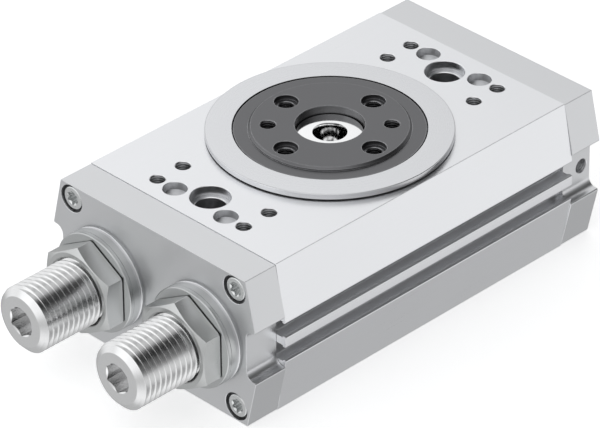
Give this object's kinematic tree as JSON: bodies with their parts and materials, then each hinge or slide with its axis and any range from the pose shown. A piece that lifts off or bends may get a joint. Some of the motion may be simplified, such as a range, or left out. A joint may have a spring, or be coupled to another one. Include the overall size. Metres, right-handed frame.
{
  "type": "rotary pneumatic actuator",
  "caption": "Flat rack-and-pinion rotary air actuator with a flanged output on top, end caps and two adjustable stop screws with lock nuts on one end.",
  "frame": {"origin": "under the middle of the whole actuator, in the plane of the underside; the output axis stands 15.65 mm further along +X", "axes": "+Z along the output axis out of the flange, +X along the body away from the stop screws, +Y to its left"},
  "size_m": [0.168, 0.0796, 0.0505],
  "materials": {
    "anodised_aluminium": "satin clear anodised",
    "turned_steel": "fine turned, bright",
    "dark_flange_steel": "dark oxidised, satin",
    "screw_steel": "zinc plated",
    "bearing_steel": "ground",
    "brass_cage": "stamped",
    "nut_steel": "zinc-nickel plated, matt",
    "piston_aluminium": "hard anodised",
    "seal_rubber": "moulded nitrile",
    "polyurethane": "moulded",
    "magnet": "plain"
  },
  "bodies": {
    "housing_assembly": {"housing": "anodised_aluminium", "front_end_cap": "anodised_aluminium", "rear_end_cap": "anodised_aluminium", "bearing_cover_ring": "anodised_aluminium", "front_cap_screw_upper_left": "screw_steel", "front_cap_screw_upper_right": "screw_steel", "front_cap_screw_lower_left": "screw_steel", "front_cap_screw_lower_right": "screw_steel", "rear_cap_screw_upper_left": "screw_steel", "rear_cap_screw_upper_right": "screw_steel", "rear_cap_screw_lower_left": "screw_steel", "rear_cap_screw_lower_right": "screw_steel", "front_cap_o_ring_left": "seal_rubber", "front_cap_o_ring_right": "seal_rubber", "rear_cap_o_ring_left": "seal_rubber", "rear_cap_o_ring_right": "seal_rubber", "upper_bearing_outer_ring": "bearing_steel", "lower_bearing_outer_ring": "bearing_steel", "bearing_circlip": "bearing_steel", "left_support_disc": "nut_steel", "right_support_disc": "nut_steel"},
    "output_drive": {"drive_flange": "dark_flange_steel", "pinion_shaft": "turned_steel", "upper_bearing_inner_ring": "bearing_steel", "lower_bearing_inner_ring": "bearing_steel", "shaft_circlip": "bearing_steel"},
    "upper_cage": {"upper_ball_cage": "brass_cage"},
    "lower_cage": {"lower_ball_cage": "brass_cage"},
    "left_piston": {"left_rack_piston": "piston_aluminium", "left_piston_magnet": "magnet", "left_piston_seal_front": "seal_rubber", "left_piston_seal_rear": "seal_rubber", "left_guide_band_front": "polyurethane", "left_guide_band_rear": "polyurethane"},
    "left_stop_carrier": {"left_stop_buffer": "polyurethane"},
    "left_stop": {"left_stop_screw": "turned_steel"},
    "left_nut_carrier": {"left_sealing_disc": "nut_steel"},
    "left_nut": {"left_lock_nut": "nut_steel"},
    "right_piston": {"right_rack_piston": "piston_aluminium", "right_piston_magnet": "magnet", "right_piston_seal_front": "seal_rubber", "right_piston_seal_rear": "seal_rubber", "right_guide_band_front": "polyurethane", "right_guide_band_rear": "polyurethane"},
    "right_stop_carrier": {"right_stop_buffer": "polyurethane"},
    "right_stop": {"right_stop_screw": "turned_steel"},
    "right_nut_carrier": {"right_sealing_disc": "nut_steel"},
    "right_nut": {"right_lock_nut": "nut_steel"}
  },
  "joints": [
    {"name": "output_turn", "type": "hinge", "parent": "housing_assembly", "child": "output_drive", "pos_m": [0.01565, 0, 0.0238], "axis": [0, 0, 1], "range_deg": [-90, 90]},
    {"name": "upper_cage_turn", "type": "hinge", "parent": "housing_assembly", "child": "upper_cage", "pos_m": [0.01565, 0, 0.0424], "axis": [0, 0, 1], "range_deg": [-45, 45]},
    {"name": "lower_cage_turn", "type": "hinge", "parent": "housing_assembly", "child": "lower_cage", "pos_m": [0.01565, 0, 0.0071], "axis": [0, 0, 1], "range_deg": [-45, 45]},
    {"name": "left_piston_slide", "type": "slide", "parent": "housing_assembly", "child": "left_piston", "axis": [1, 0, 0], "range_m": [-0.0134, 0.0134]},
    {"name": "left_stop_travel", "type": "slide", "parent": "housing_assembly", "child": "left_stop_carrier", "axis": [-1, 0, 0], "range_m": [0, 0.00375]},
    {"name": "left_stop_turn", "type": "hinge", "parent": "left_stop_carrier", "child": "left_stop", "pos_m": [-0.05935, 0.0191, 0.02325], "axis": [-1, 0, 0], "range_deg": [0, 722]},
    {"name": "left_nut_travel", "type": "slide", "parent": "housing_assembly", "child": "left_nut_carrier", "axis": [-1, 0, 0], "range_m": [0, 0.00187]},
    {"name": "left_nut_turn", "type": "hinge", "parent": "left_nut_carrier", "child": "left_nut", "pos_m": [-0.05935, 0.0191, 0.02325], "axis": [-1, 0, 0], "range_deg": [0, 362]},
    {"name": "right_piston_slide", "type": "slide", "parent": "housing_assembly", "child": "right_piston", "axis": [1, 0, 0], "range_m": [-0.0134, 0.0134]},
    {"name": "right_stop_travel", "type": "slide", "parent": "housing_assembly", "child": "right_stop_carrier", "axis": [-1, 0, 0], "range_m": [0, 0.00375]},
    {"name": "right_stop_turn", "type": "hinge", "parent": "right_stop_carrier", "child": "right_stop", "pos_m": [-0.05935, -0.0191, 0.02325], "axis": [-1, 0, 0], "range_deg": [0, 722]},
    {"name": "right_nut_travel", "type": "slide", "parent": "housing_assembly", "child": "right_nut_carrier", "axis": [-1, 0, 0], "range_m": [0, 0.00187]},
    {"name": "right_nut_turn", "type": "hinge", "parent": "right_nut_carrier", "child": "right_nut", "pos_m": [-0.05935, -0.0191, 0.02325], "axis": [-1, 0, 0], "range_deg": [0, 362]}
  ],
  "couplings": [
    {"joint": "upper_cage_turn", "follows": "output_turn", "ratio": 0.463},
    {"joint": "lower_cage_turn", "follows": "output_turn", "ratio": 0.444},
    {"joint": "left_piston_slide", "follows": "output_turn", "m_per_rad": -0.0085},
    {"joint": "left_stop_turn", "follows": "left_stop_travel", "rad_per_m": 3351},
    {"joint": "left_nut_turn", "follows": "left_nut_travel", "rad_per_m": 3351},
    {"joint": "right_piston_slide", "follows": "output_turn", "m_per_rad": 0.0085},
    {"joint": "right_stop_turn", "follows": "right_stop_travel", "rad_per_m": 3351},
    {"joint": "right_nut_turn", "follows": "right_nut_travel", "rad_per_m": 3351}
  ]
}
